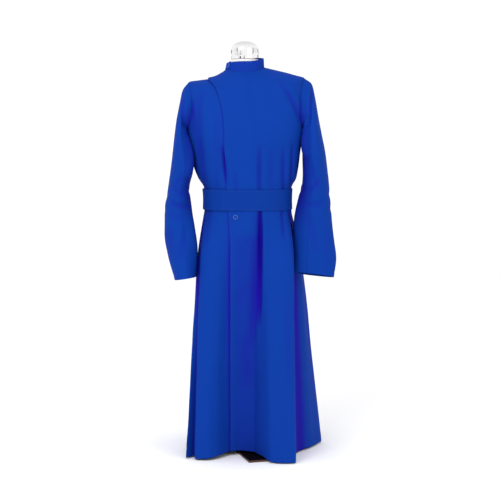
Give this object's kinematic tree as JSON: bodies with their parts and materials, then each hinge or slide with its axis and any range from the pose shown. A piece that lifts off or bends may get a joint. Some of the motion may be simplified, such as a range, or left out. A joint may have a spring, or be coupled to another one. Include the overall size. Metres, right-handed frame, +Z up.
{
  "type": "cassock on a dress form",
  "caption": "Long double-breasted cassock with stand collar, two-piece sleeves, wide belt and folded skirt, worn by a limbless dress form on a flat stand.",
  "frame": {"origin": "on the floor under the middle of the stand's foot", "axes": "+Z up, -Y out of the wearer's front, +X towards the wearer's left"},
  "size_m": [0.599, 0.5099, 1.431],
  "materials": {
    "cassock_cloth": "royal blue polyester suiting, matt",
    "belt_cloth": "the same royal blue suiting, interlined flat",
    "button": "blue four-hole button with a raised rim",
    "form_cover": "pale jersey cover stretched over the form",
    "neck_cap": "polished chrome cap",
    "pole": "chromed tube",
    "stand_foot": "black painted steel plate"
  },
  "bodies": {
    "root": {"front_over": "cassock_cloth", "front_under": "cassock_cloth", "back_left": "cassock_cloth", "back_right": "cassock_cloth", "sleeve_left_top": "cassock_cloth", "sleeve_left_under": "cassock_cloth", "sleeve_right_top": "cassock_cloth", "sleeve_right_under": "cassock_cloth", "collar": "cassock_cloth", "belt": "belt_cloth", "waist_button": "button", "collar_button": "button", "form_torso": "form_cover", "neck_cap": "neck_cap", "pole": "pole", "stand_base": "stand_foot"}
  },
  "joints": []
}
